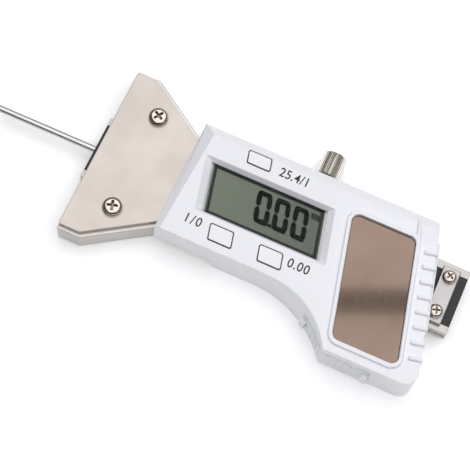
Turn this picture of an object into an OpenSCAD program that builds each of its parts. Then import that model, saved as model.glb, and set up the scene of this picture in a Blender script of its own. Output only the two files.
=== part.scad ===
// Digital tread depth gauge with a sliding beam, a wide measuring foot and a solar panel.
// X runs along the beam from the probe's tip to the stop plate, with the measuring face at X = 0.
// Y = 0 is the beam's centreline, and Z = 0 is the plane that the back rests on.

/* [Beam and probe] */
// Width of the sliding beam
beam_w = 16; // [14:0.5:19.5]
// Thickness of the sliding beam
beam_t = 3.3; // [2.7:0.1:4]
// Length of the sliding beam
beam_l = 88; // [86:1:96]
// How far the beam's front end stands out of the measuring face with the probe fully out
beam_proud = 0.8; // [0.3:0.1:1.5]
// Measuring range, which is also the probe's free length at full depth
depth_range = 25.4; // [20:0.2:30]
// Diameter of the probe rod
probe_d = 1.6; // [1.2:0.1:2]
// Length of the thinner shank pressed into the beam
probe_shank_l = 8; // [5:0.5:12]
// Width of the scale strip let into the beam
strip_w = 12; // [10:0.5:12.5]
// Thickness of the scale strip
strip_t = 0.35; // [0.2:0.05:0.5]
// Thickness of the black film over the scale strip
film_t = 0.1; // [0.05:0.05:0.2]
// Depth of the groove that holds the strip
groove_d = 0.6; // [0.5:0.05:0.8]

/* [Stop plate] */
// Distance from the beam's rear end to the plate's rear edge
stop_inset = 2; // [1:0.5:3]
// Length of the plate along the beam
stop_l = 4.1; // [3.5:0.1:6]
// Width of the plate across the beam
stop_w = 13.5; // [12.8:0.1:15]
// Thickness of the plate
stop_t = 1; // [0.6:0.1:1.1]
// Distance between the two stop screws
stop_pitch = 8.7; // [7:0.1:9.5]

/* [Measuring foot] */
// Width of the foot across the measuring face
foot_w = 42.8; // [35:0.2:52]
// Length of the foot's straight ends
foot_flat = 5.5; // [3:0.5:7]
// Distance from the measuring face to the point where the taper meets the neck
foot_l = 19.8; // [17:0.2:24]
// Thickness of the cover plate
cover_t = 1; // [0.8:0.1:1.4]
// Step between the cover plate's edge and the foot's edge
cover_step = 0.9; // [0.5:0.1:1.5]
// Distance of the foot screws from the measuring face
foot_screw_x = 9.1; // [7:0.1:11]
// Distance of the foot screws from the centreline
foot_screw_y = 12.15; // [11.5:0.05:13]

/* [Slider frame] */
// Floor thickness under the beam
floor_t = 1.6; // [1.3:0.1:2.2]
// Thickness of the walls beside the beam
rail_w = 3.85; // [3.6:0.05:5]
// Running gap around the beam
run_gap = 0.05; // [0.02:0.01:0.08]
// Length of the neck behind the foot
neck_l = 14.2; // [13:0.2:17]
// Length of the frame behind the neck
frame_l = 40.5; // [36:0.5:40.5]
// Thickness of the gib strip
gib_t = 0.6; // [0.4:0.1:0.8]
// Length of the gib strip
gib_l = 34; // [28:1:36]

/* [Lock screw] */
// Distance of the lock screw from the measuring face
lock_x = 49.1; // [46:0.1:54]
// Thread diameter
lock_d = 3; // [2.5:0.1:3]
// Diameter of the knurled head
knob_d = 5.5; // [4.5:0.1:6]
// Length of the knurled head
knob_l = 6; // [4:0.1:8]
// Distance from the housing to the knurled head
knob_gap = 1; // [0.5:0.1:2]
// Gap between the lock pad and the gib when released
lock_gap = 0.18; // [0.15:0.01:0.3]

/* [Housing] */
// Wall thickness
wall = 1.4; // [1.1:0.1:1.7]
// Thickness of the top
top_wall = 1.2; // [1:0.1:1.6]
// Length along the upper edge
housing_l = 56.8; // [56.8:0.2:69]
// Room between the frame and the upper wall
room_up = 1.6; // [1.4:0.1:3]
// Room between the frame and the lower wall
room_low = 0.2; // [0.15:0.05:1]
// How much further down the solar end reaches than the display end
grip_drop = 10.4; // [8:0.2:12.5]
// Length of the curve between the two ends
curve_run = 20; // [16:0.5:22]
// Distance from the housing's front to the start of the curve
curve_start = 24.2; // [22:0.2:27]
// Shift towards the front for each millimetre towards the upper edge
slant = 0.23; // [0.1:0.01:0.25]
// Radius of the rear lower corner
corner_r = 3; // [2:0.1:4]
// Drop of the bevels at the upper and front edges
bevel_drop = 2; // [1:0.1:2.2]
// Width of the bevel along the upper edge
bevel_w = 2.6; // [2:0.1:3]
// Height of the side walls' lower edge beside the neck
skirt_z = 3.4; // [2.5:0.1:4]
// Thickness of the back cover
back_t = 1.4; // [1.2:0.1:1.5]
// How far the collar around the beam's exit stands out
collar_out = 0.8; // [0.5:0.1:1.2]

/* [Display] */
// Width of the visible window
lcd_w = 25.2; // [20:0.2:27]
// Height of the visible window
lcd_h = 10.3; // [9:0.1:11]
// Distance from the housing's front to the window's middle
lcd_x = 20.4; // [20:0.1:21]
// Width of the bevel at the window's two ends
lcd_end_bevel = 3; // [1:0.1:3.1]
// Width of the bevel along the window's long sides
lcd_side_bevel = 1.4; // [0.6:0.1:1.4]
// Thickness of the clear window
window_t = 0.6; // [0.4:0.1:0.8]
// Thickness of the display glass
glass_t = 1; // [0.8:0.1:1.4]
// Height of the conductive rubber strips
zebra_h = 0.75; // [0.7:0.05:1.5]

/* [Buttons] */
// Width of each button
button_w = 5.5; // [4.5:0.1:6]
// Height of the two lower buttons
button_h = 3.8; // [3:0.1:4]
// Height of the upper button
unit_button_h = 3.1; // [2.6:0.1:3.3]
// How far a button can be pressed
button_travel = 0.4; // [0.2:0.05:0.45]
// Gap around a button
button_gap = 0.12; // [0.08:0.01:0.2]
// How far a button stands above the top
button_proud = 0.15; // [0:0.05:0.3]

/* [Solar panel] */
// Width of the visible cell
solar_w = 15.1; // [11:0.1:15.2]
// Height of the visible cell
solar_h = 29; // [22:0.2:29]
// Thickness of the cell
solar_t = 1.1; // [0.8:0.1:1.3]
// Height of the raised rim
solar_rim = 0.6; // [0.3:0.1:1]
// Width of the raised rim
solar_rim_w = 1; // [0.6:0.1:1.2]
// Corner radius
solar_r = 1.6; // [1:0.1:2.5]

/* [Board and screws] */
// Thickness of the circuit board
board_t = 1; // [0.8:0.1:1.6]
// Diameter of the housing screws
screw_d = 1.8; // [1.6:0.1:2]
// Diameter of the housing screw heads
screw_head_d = 2.8; // [2.4:0.1:2.8]
// Diameter of the storage capacitor
capacitor_d = 5.5; // [4:0.1:5.6]
// Length of the storage capacitor
capacitor_l = 10; // [7:0.5:10.2]

/* [Hidden] */
$fn = 48;
eps = 0.01;
seat = 0.02;

// Heights of the stack, from the back to the top
rail_top = floor_t + beam_t + 2 * run_gap;
beam_z = floor_t + run_gap;
beam_top = beam_z + beam_t;
axis_z = beam_z + beam_t / 2;
cover_top = rail_top + cover_t;
board_top = rail_top + board_t;
glass_z = board_top + zebra_h;
window_z = glass_z + glass_t + 0.05;
inner_top = window_z + window_t;
top_z = inner_top + top_wall;

// Widths, from the centreline outwards
half_beam = beam_w / 2;
channel = half_beam + run_gap;
frame_half = half_beam + rail_w;
upper_y = frame_half + room_up + wall;
narrow_y = frame_half + room_low + wall;
wide_y = narrow_y + grip_drop;
gib_wall_y = channel + gib_t + run_gap;
rail_screw_y = (gib_wall_y + frame_half) / 2;

// Lengths, from the measuring face rearwards
beam_x0 = -beam_proud;
beam_x1 = beam_x0 + beam_l;
side_groove = 0.25;
probe_shank_d = 0.75 * probe_d;
stop_x = beam_x1 - stop_inset - stop_l;
neck_end = foot_l + neck_l;
frame_end = neck_end + frame_l;
housing_x = foot_l;
curve_x = housing_x + curve_start;
curve_r = (curve_run * curve_run + grip_drop * grip_drop) / (2 * grip_drop);
curve_end_x = curve_x + curve_run;
rear_top_x = housing_x + housing_l;
tilt = sqrt(1 + slant * slant);
function rear_x(y) = rear_top_x + slant * (upper_y - y);

// Fixings
neck_screw_x = foot_l + 5.2;
frame_screw_x = frame_end - 4.5;
head_h = 1.1;
screw_tip_z = min(rail_top + 2, inner_top - 1);
boss_r = 2;
pilot_r = screw_d / 2 - 0.05;
cover_pad = 1;
low_screw = [curve_end_x + 1.2, -wide_y + 4.7];
rear_screw = [rear_x(-13) - 3.8, -wide_y + 10.9];
rail_screws = [for (x = [neck_screw_x, frame_screw_x], s = [1, -1]) [x, s * rail_screw_y]];
cover_screws = [low_screw, rear_screw];
board_screw_x = frame_end - 16.5;
thread_gap = 0.02;
dowel_d = 1.5;
dowel_l = 8;

// Gib strip and its two set screws
gib_x = neck_end + 3;
gib_screw_d = 2;
gib_screw_inset = 5.5;
gib_screw_places = [gib_x + gib_screw_inset, gib_x + gib_l - gib_screw_inset];

// Foot and stop screws
foot_screw_head_d = 4.5;
foot_thread_d = 2.5;
stop_screw_head_d = 3.3;
stop_thread_d = 2;
stop_screw_x = stop_x + stop_l / 2;

// Storage capacitor, lying in its cradle beside the frame
capacitor_x = low_screw.x + boss_r + 0.4;
capacitor_y = -wide_y + capacitor_d / 2 + 3.6;
capacitor_z = back_t + capacitor_d / 2 + 0.1;
cradle_w = 0.7;
cradle_t = 1.2;

// Openings of the housing's rear end
mouth_half = half_beam + 0.5;
collar_half = mouth_half + 1.75;
collar_top = beam_top + stop_t + 1.65;
mouth_top = collar_top - 0.4;
stop_rib_x = stop_x - 0.05;
stop_rib_t = 2;
stop_rib_w = mouth_half + 0.45 - stop_w / 2;

// Ridges over the rear edge
ridges = 8;
ridge_pitch = 3.42;
ridge_y = 6.5;
ridge_w = 0.9;
ridge_out = 0.3;
ridge_in = 2.8;

// Display, buttons and solar panel
lcd_pos = [housing_x + lcd_x, 0.5];
holder_edge = 1.5;
unit_pos = [lcd_pos.x - 5.7, upper_y - bevel_w - unit_button_h / 2 - 0.1];
power_pos = [lcd_pos.x - 6.3, -narrow_y + 3.95];
zero_pos = [lcd_pos.x + 5.4, -narrow_y + 3.95];
flange_t = 0.7;
flange_w = 0.7;
button_base = inner_top - 0.05 - flange_t;
switch_h = button_base - button_travel - 0.05 - board_top;
solar_pos = [rear_x(-6.5) - 12.5, (grip_drop - wide_y) / 2 + 0.3];
solar_lead_x = solar_pos.x - 2.5;
solar_floor = top_z - 0.2 - solar_t;
pocket_t = 1;

// Grip insert at the corner below the solar panel
grip_t = 0.7;
grip_proud = 0.15;
grip_z = [1.6, 7.2];
grip_a = 33;
grip_len = 11.2;
grip_rib_r = 0.35;

// Lock screw
lock_pitch = 0.5;
pad_y = channel + gib_t + lock_gap;
pad_l = 0.9;
knob_y = upper_y + knob_gap;

// A parallelogram with upright height h, leaning by the housing's slant
function slanted(w, h) = [
    [-w / 2 + slant * h / 2, -h / 2], [w / 2 + slant * h / 2, -h / 2],
    [w / 2 - slant * h / 2, h / 2], [-w / 2 - slant * h / 2, h / 2]
];

// A polygon grown by r, with true round corners
module rounded(points, r) {
    polygon(points);
    for (i = [0 : len(points) - 1]) {
        from = points[i];
        way = points[(i + 1) % len(points)] - from;
        translate(from) {
            circle(r);
            rotate(atan2(way.y, way.x)) translate([0, -r]) square([norm(way), 2 * r]);
        }
    }
}

module rounded_slant(w, h, r) {
    rounded(slanted(w - 2 * r * tilt, h - 2 * r), r);
}

module slant_prism(pos, w, h, r, z0, z1) {
    translate([pos.x, pos.y, z0]) linear_extrude(z1 - z0) rounded_slant(w, h, r);
}

// A pan-head screw standing on z = 0, with its shank below and a cross recess in the head
module pan_screw(head_d, head_h, shank_d, shank_l) {
    slot_w = head_d * 0.16;
    slot_l = head_d * 0.55;
    dome = head_h * 0.45;
    difference() {
        union() {
            cylinder(d = head_d, h = head_h - dome);
            translate([0, 0, head_h - dome]) cylinder(d1 = head_d, d2 = head_d * 0.7, h = dome);
            translate([0, 0, -shank_l]) cylinder(d = shank_d, h = shank_l + eps);
        }
        for (a = [0, 90])
            rotate(a) translate([-slot_l / 2, -slot_w / 2, head_h * 0.4]) cube([slot_l, slot_w, head_h]);
    }
}

// ---- Measuring foot -------------------------------------------------------

// The foot's plan, moved in by step at the sides, with a straight neck behind it
module foot_outline(step, neck) {
    half = foot_w / 2 - step;
    flat = foot_flat - step * 0.45;
    taper = (foot_w / 2 - frame_half) / (foot_l - foot_flat);
    neck_half = frame_half - step;
    neck_x = flat + (half - neck_half) / taper;
    end_x = foot_l + neck;
    upper = [[0, half], [flat, half], [neck_x, neck_half], [end_x, neck_half]];
    polygon(concat(upper, [for (i = [3 : -1 : 0]) [upper[i].x, -upper[i].y]]));
}

module foot_block() color("#d5cdc4") difference() {
    linear_extrude(rail_top) foot_outline(0, neck_l);
    translate([-1, -channel, floor_t]) cube([neck_end + 2, 2 * channel, beam_t + 2]);
    for (s = [1, -1]) {
        translate([foot_screw_x, s * foot_screw_y, 1]) cylinder(d = foot_thread_d, h = rail_top);
        screw_way([neck_screw_x, s * rail_screw_y]);
    }
    dowel_holes();
}

// Clearance hole of a housing screw, with the counterbore of its head in the back
module screw_way(p) {
    translate([p.x, p.y, -1]) cylinder(d = screw_d + 0.2, h = rail_top + 2);
    translate([p.x, p.y, -1]) cylinder(d = screw_head_d + 0.1, h = head_h + 1);
}

module foot_cover() color("#dbd3cb") difference() {
    translate([0, 0, rail_top]) linear_extrude(cover_t) foot_outline(cover_step, wall - 0.2);
    for (s = [1, -1])
        translate([foot_screw_x, s * foot_screw_y, rail_top - 1])
            cylinder(d = foot_thread_d + 0.2, h = cover_t + 2);
}

module foot_screws() color("#cfcac2") for (s = [1, -1])
    translate([foot_screw_x, s * foot_screw_y, cover_top])
        pan_screw(foot_screw_head_d, 1.4, foot_thread_d - 2 * thread_gap, cover_t + 3.5);

// ---- Slider frame ---------------------------------------------------------

module dowel_holes() {
    for (s = [1, -1])
        translate([neck_end - dowel_l / 2 - 0.1, s * rail_screw_y, axis_z]) rotate([0, 90, 0])
            cylinder(d = dowel_d + 2 * thread_gap, h = dowel_l + 0.2);
}

module slider_frame() color("#bdb9b4") difference() {
    translate([neck_end, -frame_half, 0]) cube([frame_l, 2 * frame_half, rail_top]);
    translate([neck_end - 1, -channel, floor_t]) cube([frame_l + 2, channel + gib_wall_y, beam_t + 2]);
    for (s = [1, -1]) {
        screw_way([frame_screw_x, s * rail_screw_y]);
        translate([board_screw_x, s * rail_screw_y, rail_top - 3]) cylinder(d = 1.6, h = 4);
    }
    translate([lock_x, 0, axis_z]) rotate([-90, 0, 0]) cylinder(d = lock_d, h = frame_half + 1);
    for (x = gib_screw_places)
        translate([x, 0, axis_z]) rotate([-90, 0, 0]) cylinder(d = gib_screw_d, h = frame_half + 1);
    dowel_holes();
}

module frame_dowels() color("silver") for (s = [1, -1])
    translate([neck_end - dowel_l / 2, s * rail_screw_y, axis_z]) rotate([0, 90, 0])
        cylinder(d = dowel_d, h = dowel_l);

module gib() color("#c9a24a")
    translate([gib_x, channel, beam_z + 0.1]) cube([gib_l, gib_t, beam_t - 0.2]);

module gib_screws() color("#55524f") for (x = gib_screw_places)
    translate([x, gib_wall_y - run_gap + seat, axis_z]) rotate([-90, 0, 0]) difference() {
        screw_l = frame_half - gib_wall_y - 0.4;
        cylinder(d = gib_screw_d - 2 * thread_gap, h = screw_l);
        translate([-gib_screw_d, -0.2, screw_l - 0.6]) cube([2 * gib_screw_d, 0.4, 1]);
    }

module lock_pad() color("#c9a24a")
    translate([lock_x, pad_y, axis_z]) rotate([-90, 0, 0]) cylinder(d = lock_d - 0.4, h = pad_l);

module lock_screw() color("#b9b2a6") {
    shank_l = knob_y - pad_y - pad_l;
    chamfer = 0.5;
    flutes = 20;
    translate([lock_x, pad_y + pad_l + seat, axis_z]) rotate([-90, 0, 0]) {
        cylinder(d = lock_d - 4 * thread_gap, h = shank_l);
        difference() {
            translate([0, 0, shank_l]) union() {
                cylinder(d = knob_d, h = knob_l - chamfer);
                translate([0, 0, knob_l - chamfer])
                    cylinder(d1 = knob_d, d2 = knob_d - 2 * chamfer, h = chamfer);
            }
            for (i = [0 : flutes - 1]) rotate(360 * i / flutes)
                translate([knob_d / 2 + 0.12, 0, shank_l - 1])
                    cylinder(r = 0.3, h = knob_l + 2, $fn = 16);
        }
    }
}

// ---- Beam and probe -------------------------------------------------------

module beam() color("#c6c3be") difference() {
    translate([beam_x0, -half_beam, beam_z]) cube([beam_l, beam_w, beam_t]);
    translate([beam_x0 - 1, -strip_w / 2 - 0.05, beam_top - groove_d])
        cube([beam_l + 2, strip_w + 0.1, 1]);
    translate([beam_x0 - 1, 0, axis_z]) rotate([0, 90, 0])
        cylinder(d = probe_shank_d + 2 * thread_gap, h = probe_shank_l + 1.2);
    for (s = [1, -1]) {
        translate([beam_x0 - 1, s * half_beam - side_groove, axis_z - side_groove])
            cube([beam_l + 2, 2 * side_groove, 2 * side_groove]);
        translate([stop_screw_x, s * stop_pitch / 2, beam_z + 0.6]) cylinder(d = stop_thread_d, h = beam_t);
    }
}

module strip_slab(z, t) difference() {
    translate([beam_x0, -strip_w / 2, z]) cube([beam_l, strip_w, t]);
    for (s = [1, -1])
        translate([stop_screw_x, s * stop_pitch / 2, z - 1]) cylinder(d = stop_thread_d + 0.4, h = t + 2);
}

module scale_strip() color("#3f5a3c") strip_slab(beam_top - groove_d, strip_t);

module scale_film() color("#1d1d1f") strip_slab(beam_top - groove_d + strip_t, film_t);

module probe_rod() color("#d4d4d4") translate([beam_x0, 0, axis_z]) rotate([0, -90, 0]) {
    free_l = depth_range - beam_proud;
    chamfer = 0.2;
    cylinder(d = probe_d, h = free_l - chamfer);
    translate([0, 0, free_l - chamfer]) cylinder(d1 = probe_d, d2 = probe_d - 2 * chamfer, h = chamfer);
    translate([0, 0, -probe_shank_l]) cylinder(d = probe_shank_d, h = probe_shank_l + eps);
}

module stop_plate() color("#cdc5ba") difference() {
    translate([stop_x, -stop_w / 2, beam_top]) cube([stop_l, stop_w, stop_t]);
    for (s = [1, -1])
        translate([stop_screw_x, s * stop_pitch / 2, beam_top - 1])
            cylinder(d = stop_thread_d + 0.2, h = stop_t + 2);
}

module stop_screws() color("#cfcac2") for (s = [1, -1])
    translate([stop_screw_x, s * stop_pitch / 2, beam_top + stop_t])
        pan_screw(stop_screw_head_d, 1.2, stop_thread_d - 2 * thread_gap, stop_t + beam_t - 0.8);

// ---- Housing --------------------------------------------------------------

// The housing's outline, moved inwards by d
module housing_outline(d) {
    r = max(corner_r - d, 0.5);
    reach = r / tan((90 - atan(slant)) / 2);
    top = upper_y - d;
    low = -wide_y + d;
    rear = rear_x(low) - d * tilt;
    centre = [rear - reach, low + r];
    difference() {
        union() {
            polygon([
                [housing_x + d, top], [rear_x(top) - d * tilt, top],
                [rear - reach * slant / tilt, low + reach / tilt], centre, [centre.x, low],
                [curve_x, low], [curve_x, -narrow_y + d], [housing_x + d, -narrow_y + d]
            ]);
            translate(centre) circle(r + eps);
        }
        translate([curve_x, -narrow_y - curve_r]) circle(curve_r + d, $fn = 96);
    }
}

// Everything above the two bevels and the curved facet, lowered by drop
module bevel_cuts(drop) {
    front_rise = 0.65;
    front_fall = 0.042;
    size = sqrt(1 + front_rise * front_rise + front_fall * front_fall);
    translate([0, upper_y, top_z - bevel_drop - drop]) rotate([-atan(bevel_drop / bevel_w), 0, 0])
        translate([0, -30, 0]) cube([140, 60, 20]);
    translate([housing_x, upper_y, top_z - bevel_drop - drop - 3 * eps])
        rotate([-asin(front_fall / size), -atan(front_rise), 0]) translate([-20, -60, 0]) cube([40, 80, 20]);
    facet_r = curve_r * 0.76;
    translate([curve_x + curve_run * 0.165, -narrow_y - facet_r - 0.05, top_z - drop - 5])
        cylinder(r1 = facet_r - 5, r2 = facet_r + 5, h = 10, $fn = 96);
}

module side_strip(y0, y1, out0, out1) {
    polygon([
        [rear_x(y0) + out0, y0], [rear_x(y0) + out1, y0], [rear_x(y1) + out1, y1], [rear_x(y1) + out0, y1]
    ]);
}

module button_hole(pos, h) {
    slant_prism(pos, button_w + 2 * button_gap, h + 2 * button_gap, 0.5, inner_top - 2, top_z + 1);
}

// The grip insert's plan: a band along the curve's end and along the lower wall
module grip_band(out, deep, grow) {
    centre = [curve_x, -narrow_y - curve_r];
    end_x = curve_end_x + grip_len + grow;
    a = 90 - grip_a + grow * 2;
    far = 2 * curve_r;
    intersection() {
        translate(centre) difference() {
            circle(curve_r + deep, $fn = 96);
            circle(curve_r - out, $fn = 96);
            polygon([[0, 0], far * [cos(a), sin(a)], far * [-1, 2], far * [-2, -1]]);
        }
        translate([curve_x, -wide_y - out]) square([curve_run + 4, 20]);
    }
    translate([curve_end_x - 0.3, -wide_y - out]) square([end_x - curve_end_x + 0.3, deep + out]);
}

// A boss hanging from the top, down to height z
module boss(p, z) {
    translate([p.x, p.y, z]) cylinder(r = boss_r, h = inner_top - z + eps);
}

module housing() color("#f1f1f4") {
    difference() {
        union() {
            difference() {
                linear_extrude(top_z) housing_outline(0);
                bevel_cuts(0);
                difference() {
                    translate([0, 0, -1]) linear_extrude(inner_top + 1) housing_outline(wall);
                    bevel_cuts(1.25);
                }
            }
            // Ledges that close the gap between the side walls and the neck
            translate([housing_x + 0.2, frame_half + 0.1, skirt_z])
                cube([neck_l - 0.2, room_up + wall / 2, rail_top - skirt_z]);
            translate([housing_x + 0.2, -frame_half - room_low - wall / 2, skirt_z])
                cube([neck_l - 0.2, room_low + wall / 2 - 0.1, rail_top - skirt_z]);
            // Collar around the beam's exit
            linear_extrude(collar_top) {
                side_strip(-collar_half, collar_half, -wall, collar_out);
                translate([rear_x(-collar_half) - 0.2, -collar_half]) circle(collar_out + 0.1);
            }
            // Raised rim and pocket of the solar cell
            slant_prism(solar_pos, solar_w + 2 * solar_rim_w, solar_h + 2 * solar_rim_w,
                solar_r + solar_rim_w, solar_floor - pocket_t, top_z + solar_rim);
            for (p = rail_screws) boss(p, rail_top);
            for (p = cover_screws) boss(p, back_t + cover_pad);
            // Grip ridges over the rear edge
            for (i = [0 : ridges - 1]) {
                y = ridge_y - i * ridge_pitch;
                translate([rear_x(y), y, top_z - 1.4]) rotate(atan(slant))
                    translate([-ridge_in, -ridge_w / 2, 0])
                        cube([ridge_in + ridge_out, ridge_w, 1.4 + 2 * ridge_out]);
            }
        }
        // Window with sloping sides
        hull() {
            slant_prism(lcd_pos, lcd_w, lcd_h, 0.2, inner_top - 1, inner_top + eps);
            slant_prism(lcd_pos, lcd_w + 2 * lcd_end_bevel, lcd_h + 2 * lcd_side_bevel, 0.2,
                top_z, top_z + eps);
        }
        button_hole(unit_pos, unit_button_h);
        button_hole(power_pos, button_h);
        button_hole(zero_pos, button_h);
        slant_prism(solar_pos, solar_w, solar_h, solar_r, solar_floor, top_z + solar_rim + 1);
        translate([solar_pos.x - 4, solar_pos.y + 5, solar_floor - pocket_t - 1]) cube([3, 6, 3]);
        for (p = concat(rail_screws, cover_screws))
            translate([p.x, p.y, back_t]) cylinder(r = pilot_r, h = screw_tip_z - back_t + 0.2);
        // Room for the neck, below and in front
        translate([housing_x - 1, -wide_y, -1]) cube([neck_l + 1.05, 2 * wide_y, skirt_z + 1]);
        translate([housing_x - 1, -frame_half - 0.3, -1])
            cube([wall + 1.1, 2 * frame_half + 0.6, cover_top + 1.05]);
        // Mouth for the beam and its stop plate
        translate([0, 0, back_t]) linear_extrude(mouth_top - back_t)
            side_strip(-mouth_half, mouth_half, -wall - 1, 2);
        // Clearance hole for the lock screw
        translate([lock_x, upper_y - wall - 1, axis_z]) rotate([-90, 0, 0])
            cylinder(d = lock_d + 0.8, h = wall + 2);
        // Pocket of the grip insert
        translate([0, 0, grip_z[0] - 0.05]) linear_extrude(grip_z[1] - grip_z[0] + 0.1)
            grip_band(1, grip_t + 0.05, 0.05);
    }
    // Rib that the stop plate meets when the probe is fully out
    translate([stop_rib_x - stop_rib_t, -mouth_half - 0.2, beam_top + 0.1])
        cube([stop_rib_t, stop_rib_w, mouth_top + 0.1 - beam_top]);
}

module back_cover() color("#eeeef1") difference() {
    union() {
        linear_extrude(back_t) housing_outline(wall + 0.1);
        for (p = cover_screws) translate([p.x, p.y, 0]) cylinder(r = boss_r, h = back_t + cover_pad);
        // Cradle of the storage capacitor
        for (x = [2, capacitor_l - 2 - cradle_t])
            translate([capacitor_x + x, capacitor_y - capacitor_d / 2 - cradle_w, back_t - eps])
                cube([cradle_t, capacitor_d + 2 * cradle_w, capacitor_d / 2]);
    }
    // Room for the neck and the frame
    translate([0, -wide_y, -1]) cube([neck_end + 0.05, 2 * wide_y, back_t + 4]);
    translate([0, -frame_half - 0.1, -1]) cube([frame_end + 0.1, 2 * frame_half + 0.2, back_t + 4]);
    for (p = cover_screws) {
        translate([p.x, p.y, -1]) cylinder(d = screw_d + 0.2, h = 8);
        translate([p.x, p.y, -1]) cylinder(d = screw_head_d + 0.1, h = head_h + 1);
    }
    translate([capacitor_x - 1, capacitor_y, capacitor_z]) rotate([0, 90, 0])
        cylinder(d = capacitor_d + 0.1, h = capacitor_l + 2);
}

module housing_screws() color("#6b6966") for (p = concat(rail_screws, cover_screws))
    translate([p.x, p.y, head_h]) rotate([180, 0, 0])
        pan_screw(screw_head_d, head_h - 0.1, 2 * (pilot_r - thread_gap), screw_tip_z - head_h);

module grip_insert() color("#e9e9ec") {
    ribs_curve = 5;
    ribs_flat = 6;
    rib_h = 4.6;
    rib_z = 2;
    nub_w = 1.5;
    nub_out = 1.2;
    nub_z = 2.6;
    nub_h = 3;
    centre = [curve_x, -narrow_y - curve_r];
    end_a = atan2(curve_run, curve_r - grip_drop);
    translate([0, 0, grip_z[0]]) linear_extrude(grip_z[1] - grip_z[0]) grip_band(grip_proud, grip_t, 0);
    for (i = [1 : ribs_curve]) {
        a = grip_a + 2 + (end_a - grip_a - 2) * i / (ribs_curve + 1);
        translate([centre.x, centre.y, rib_z]) rotate(-a) translate([0, curve_r - grip_proud, 0])
            cylinder(r = grip_rib_r, h = rib_h, $fn = 20);
    }
    for (i = [1 : ribs_flat])
        translate([curve_end_x + (grip_len - nub_w) * i / (ribs_flat + 1), -wide_y - grip_proud, rib_z])
            cylinder(r = grip_rib_r, h = rib_h, $fn = 20);
    // Fingernail nubs at both ends
    translate([centre.x, centre.y, nub_z]) rotate(-grip_a - 2.2)
        translate([-nub_w / 2, curve_r - nub_out, 0]) cube([nub_w, nub_out + 0.2, nub_h]);
    translate([curve_end_x + grip_len - nub_w, -wide_y - nub_out, nub_z])
        cube([nub_w - 0.1, nub_out + 0.2, nub_h]);
}

// ---- Electronics ----------------------------------------------------------

module circuit_board() color("#2e6b45") {
    low = -frame_half;
    high = frame_half + 0.4;
    front = housing_x + wall + 0.8;
    rear = min(rear_x(high) - wall * tilt - 0.8, stop_rib_x - stop_rib_t - 0.3);
    notch_r = boss_r + 0.15;
    difference() {
        translate([front, low, rail_top]) cube([rear - front, high - low, board_t]);
        for (p = rail_screws)
            translate([p.x, p.y, 0]) cylinder(r = notch_r, h = inner_top);
        for (m = [0, 1]) mirror([0, m, 0]) {
            translate([0, rail_screw_y, 0]) cube([neck_screw_x + notch_r, 6, inner_top]);
            translate([frame_screw_x - notch_r, rail_screw_y, 0]) cube([2 * notch_r, 6, inner_top]);
            translate([board_screw_x, rail_screw_y, 0]) cylinder(d = 1.8, h = inner_top);
        }
    }
}

module board_screws() color("#8a8780") for (s = [1, -1])
    translate([board_screw_x, s * rail_screw_y, board_top]) pan_screw(2.8, 0.8, 1.56, board_t + 2.5);

module controller_blob() color("#141414") translate([lcd_pos.x, lcd_pos.y, board_top]) {
    cylinder(d = 8.8, h = 0.3);
    translate([0, 0, 0.3]) cylinder(d1 = 8.8, d2 = 5.5, h = 0.3);
}

// Small blocks soldered to the board between the display and the rear
module surface_parts() color("#8b6f4e") for (i = [0 : 3])
    translate([solar_lead_x - 2.3 - 2.4 * i, -3 + 2 * (i % 2), board_top]) cube([1.6, 0.8, 0.6]);

module key_switches() color("#3a3a3d") for (p = [unit_pos, power_pos, zero_pos])
    translate([p.x, p.y, board_top]) {
        translate([-1.6, -1.4, 0]) cube([3.2, 2.8, switch_h - 0.3]);
        cylinder(d = 1.5, h = switch_h);
    }

module zebra_strips() color("#4c4c50") for (s = [1, -1]) {
    middle_y = s * (lcd_h / 2 + 0.2);
    translate([lcd_pos.x - slant * middle_y - lcd_w / 2 + 1, lcd_pos.y + middle_y - 0.5, board_top])
        cube([lcd_w - 2, 1, zebra_h]);
}

module lcd_holder() color("#e6e6e6") difference() {
    slant_prism(lcd_pos, lcd_w + 2 + 2 * holder_edge, lcd_h + 2 + holder_edge, 0.5, board_top, window_z);
    slant_prism(lcd_pos, lcd_w + 2, lcd_h + 1.8, 0.3, board_top - 1, window_z + 1);
}

module lcd_glass() color("#707a68")
    slant_prism(lcd_pos, lcd_w + 1.9, lcd_h + 1.7, 0.3, glass_z, glass_z + glass_t);

module lcd_window() color("#c8d0c8", 0.5)
    slant_prism(lcd_pos, lcd_w + 2.6, lcd_h + 2.4, 0.3, window_z, inner_top);

module button(pos, h) color("#f4f4f7") {
    slant_prism(pos, button_w, h, 0.4, button_base, top_z + button_proud);
    slant_prism(pos, button_w + 2 * flange_w, h - 0.3, 0.2, button_base, button_base + flange_t);
}

module unit_button() button(unit_pos, unit_button_h);

module power_button() button(power_pos, button_h);

module zero_button() button(zero_pos, button_h);

module solar_cell() color("#93806f")
    slant_prism(solar_pos, solar_w - 0.1, solar_h - 0.1, solar_r - 0.05, solar_floor, solar_floor + solar_t);

module solar_leads() color("#b03030") for (y = [6.5, 9.5])
    translate([solar_lead_x, solar_pos.y + y, board_top])
        cylinder(d = 0.6, h = solar_floor - board_top, $fn = 16);

module storage_capacitor() color("#2b3a67")
    translate([capacitor_x, capacitor_y, capacitor_z]) rotate([0, 90, 0])
        cylinder(d = capacitor_d, h = capacitor_l);

module capacitor_leads() color("#b9b9b9") for (i = [0, 1]) {
    lead_r = 0.25;
    lead_x = capacitor_x - 0.4 - 0.55 * i;
    lead_y = capacitor_y + 1.6 - 1.4 * i;
    board_y = -frame_half + 0.8;
    translate([lead_x, lead_y, board_top + lead_r + seat]) {
        rotate([0, 90, 0]) cylinder(r = lead_r, h = capacitor_x - lead_x, $fn = 16);
        sphere(lead_r, $fn = 16);
        rotate([-90, 0, 0]) cylinder(r = lead_r, h = board_y - lead_y, $fn = 16);
    }
}

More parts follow.
